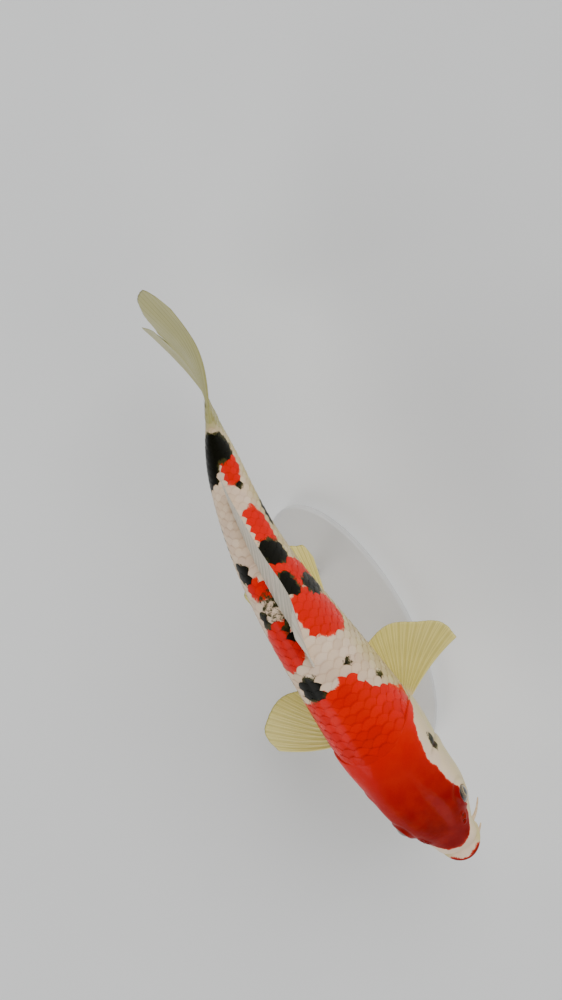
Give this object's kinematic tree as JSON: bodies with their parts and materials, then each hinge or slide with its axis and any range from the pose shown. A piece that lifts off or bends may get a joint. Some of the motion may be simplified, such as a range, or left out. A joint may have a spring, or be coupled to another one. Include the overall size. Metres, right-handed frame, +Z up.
{
  "type": "koi carp, life-size display model",
  "caption": "Koi carp of the white, red and black kind as a still life-size model in a gentle swimming bend, held on a low oval stand by slim rods.",
  "frame": {"origin": "middle of the whole model's footprint, at the underside of the stand's base", "axes": "+Z up, the fish's head towards -Y and its tail towards +Y, its left side towards +X"},
  "size_m": [0.1038, 0.2836, 0.127],
  "materials": {
    "flesh": "wet, glossy scaled skin: pinkish white with red and black patches",
    "red_skin": "wet, glossy smooth skin, mostly vivid red",
    "lip": "soft satin skin",
    "fin": "thin translucent membrane over fine rays",
    "eye": "clear gloss over a dark pupil and a pale gold ring",
    "stand_lacquer": "satin pale grey lacquer",
    "stand_steel": "fine brushed"
  },
  "bodies": {
    "root": {"anal_fin": "fin", "barbel_front_left": "lip", "barbel_front_right": "lip", "barbel_rear_left": "lip", "barbel_rear_right": "lip", "dorsal_fin": "fin", "eye_left": "eye", "eye_right": "eye", "gill_cover_left": "red_skin", "gill_cover_right": "red_skin", "head": "red_skin", "lower_lip": "lip", "pectoral_fin_left": "fin", "pectoral_fin_right": "fin", "pelvic_fin_left": "fin", "pelvic_fin_right": "fin", "stand_base": "stand_lacquer", "stand_rod_front": "stand_steel", "stand_rod_rear": "stand_steel", "tail_fin_lower": "fin", "tail_fin_upper": "fin", "tail_stalk": "flesh", "trunk_front": "flesh", "trunk_rear": "flesh", "upper_lip": "lip"}
  },
  "joints": []
}
